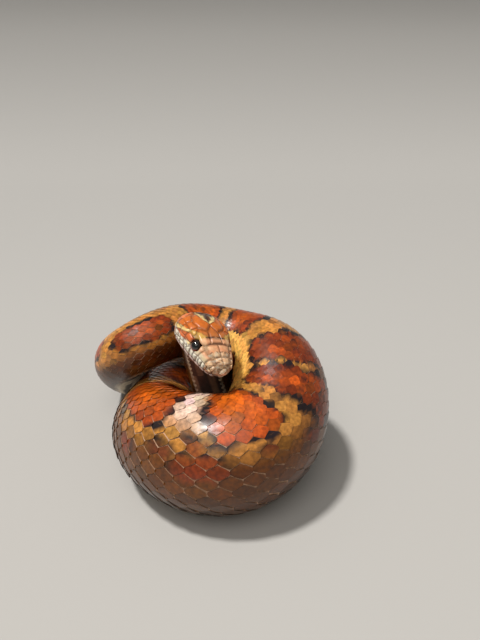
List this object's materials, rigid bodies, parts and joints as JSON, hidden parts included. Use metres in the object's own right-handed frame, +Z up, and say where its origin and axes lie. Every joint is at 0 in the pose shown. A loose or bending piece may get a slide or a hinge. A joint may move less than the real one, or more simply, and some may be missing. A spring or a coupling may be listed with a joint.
{
  "type": "coiled corn snake model",
  "caption": "Life-size still model of a corn snake resting in a stacked coil, head on top, thick front bend below it and the tail laid round the back.",
  "frame": {"origin": "on the floor under the centre of the coil's box", "axes": "+Z up, -Y towards the viewer and the thick front bend, +X to the viewer's right; the snout points to -Y and a little to +X"},
  "size_m": [0.114, 0.1504, 0.0665],
  "materials": {
    "scaled_skin": "satin scaled skin, orange to brick red saddles edged in black on tan",
    "head_shields": "smooth satin head shields, orange and cream with black lines",
    "dark_eye": "wet gloss"
  },
  "bodies": {
    "root": {"head": "head_shields", "eye_left": "dark_eye", "eye_right": "dark_eye", "neck": "scaled_skin", "body_1": "scaled_skin", "body_2": "scaled_skin", "body_3": "scaled_skin", "body_4": "scaled_skin", "body_5": "scaled_skin", "body_6": "scaled_skin", "body_7": "scaled_skin", "body_8": "scaled_skin", "body_9": "scaled_skin", "body_10": "scaled_skin", "tail_1": "scaled_skin", "tail_2": "scaled_skin"}
  },
  "joints": []
}
